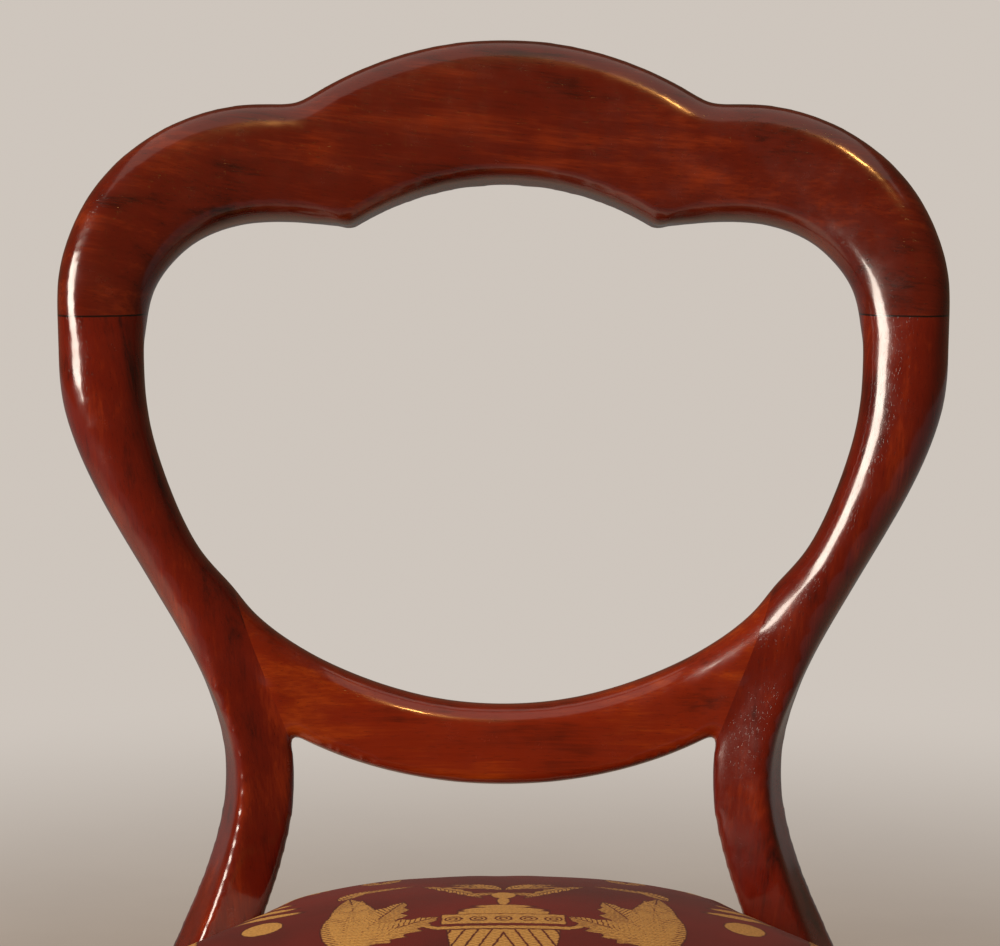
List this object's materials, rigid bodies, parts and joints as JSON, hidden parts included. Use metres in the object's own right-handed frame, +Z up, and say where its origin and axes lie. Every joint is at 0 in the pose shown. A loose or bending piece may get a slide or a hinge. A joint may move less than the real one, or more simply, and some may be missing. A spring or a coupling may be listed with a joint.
{
  "type": "balloon back dining chair",
  "caption": "Balloon back dining chair with a lobed crest rail, a hollow back, a curved cross rail, a domed stuff-over seat, turned front legs and swept rear legs.",
  "frame": {"origin": "on the floor, under the middle of the chair's bounding box", "axes": "+Z up to the crest, -Y the way the sitter faces, +X to the right in a view from the front"},
  "size_m": [0.467, 0.534, 0.8999],
  "materials": {
    "polished_mahogany": "French polish, glossy",
    "beech": "raw, sawn and planed",
    "screw_steel": "turned, dull",
    "blued_steel": "blued",
    "jute_webbing": "coarse weave",
    "hessian_cloth": "open weave",
    "horsehair": "matted fibre",
    "scrim_cloth": "open weave",
    "cotton_wadding": "felted fibre",
    "crimson_damask": "woven, soft sheen"
  },
  "bodies": {
    "root": {"crest_rail": "polished_mahogany", "left_upright": "polished_mahogany", "right_upright": "polished_mahogany", "cross_rail": "polished_mahogany", "left_front_leg": "polished_mahogany", "right_front_leg": "polished_mahogany", "front_seat_rail": "beech", "back_seat_rail": "beech", "left_seat_rail": "beech", "right_seat_rail": "beech", "front_left_corner_block": "beech", "front_right_corner_block": "beech", "rear_left_corner_block": "beech", "rear_right_corner_block": "beech", "crest_dowels": "beech", "cross_rail_dowels": "beech", "front_rail_dowels": "beech", "back_rail_dowels": "beech", "side_rail_dowels": "beech", "corner_block_screws": "screw_steel", "webbing_tacks": "blued_steel", "cover_tacks": "blued_steel", "webbing_lengthwise_1": "jute_webbing", "webbing_lengthwise_2": "jute_webbing", "webbing_lengthwise_3": "jute_webbing", "webbing_lengthwise_4": "jute_webbing", "webbing_crosswise_1": "jute_webbing", "webbing_crosswise_2": "jute_webbing", "webbing_crosswise_3": "jute_webbing", "webbing_crosswise_4": "jute_webbing", "hessian": "hessian_cloth", "first_stuffing": "horsehair", "scrim": "scrim_cloth", "second_stuffing": "horsehair", "wadding": "cotton_wadding", "seat_cover": "crimson_damask"}
  },
  "joints": []
}
